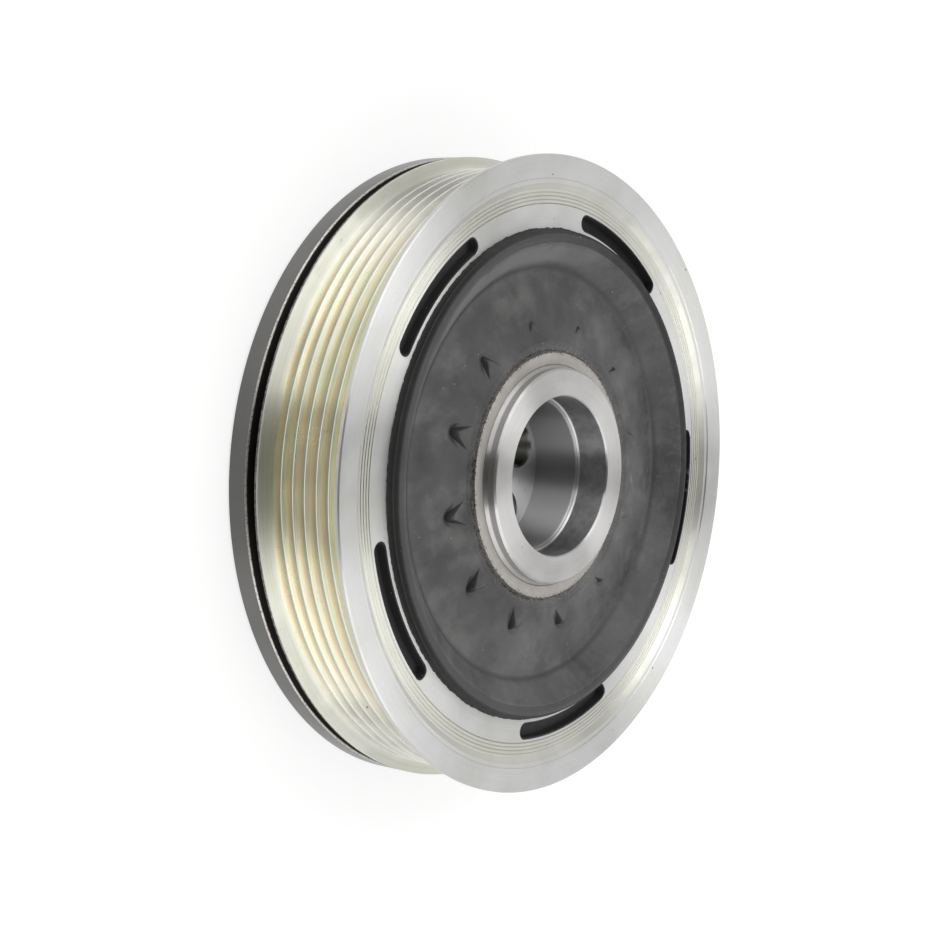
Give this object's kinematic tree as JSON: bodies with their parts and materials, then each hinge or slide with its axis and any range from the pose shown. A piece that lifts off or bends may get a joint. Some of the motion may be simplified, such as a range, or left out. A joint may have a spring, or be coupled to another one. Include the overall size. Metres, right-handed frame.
{
  "type": "crankshaft harmonic balancer",
  "caption": "Decoupled crankshaft belt pulley with a turned hub, a moulded rubber disc, a grooved rim and a torsional vibration damper ring behind it.",
  "frame": {"origin": "centre of the hub face that seats on the crankshaft's nose", "axes": "+Z along the crank's axis towards the front of the engine, +X through one crank bolt hole"},
  "size_m": [0.156, 0.156, 0.0364],
  "materials": {
    "turned_steel": "fine turned steel, bright bevels",
    "sleeve_steel": "dull phosphated steel, beige grey",
    "moulded_rubber": "matte moulded rubber, mottled with bloom",
    "plated_steel": "turned and zinc plated, pale yellow passivation with a faint rainbow",
    "bearing_polymer": "filled bearing polymer",
    "track_rubber": "matte rubber",
    "coated_iron": "satin dark coating over turned cast iron"
  },
  "bodies": {
    "root": {"hub": "turned_steel", "decoupler_sleeve": "sleeve_steel", "decoupler_rubber": "moulded_rubber", "pulley": "plated_steel", "bearing_bush": "bearing_polymer", "thrust_ring": "bearing_polymer", "damper_rubber": "track_rubber", "inertia_ring": "coated_iron"}
  },
  "joints": []
}
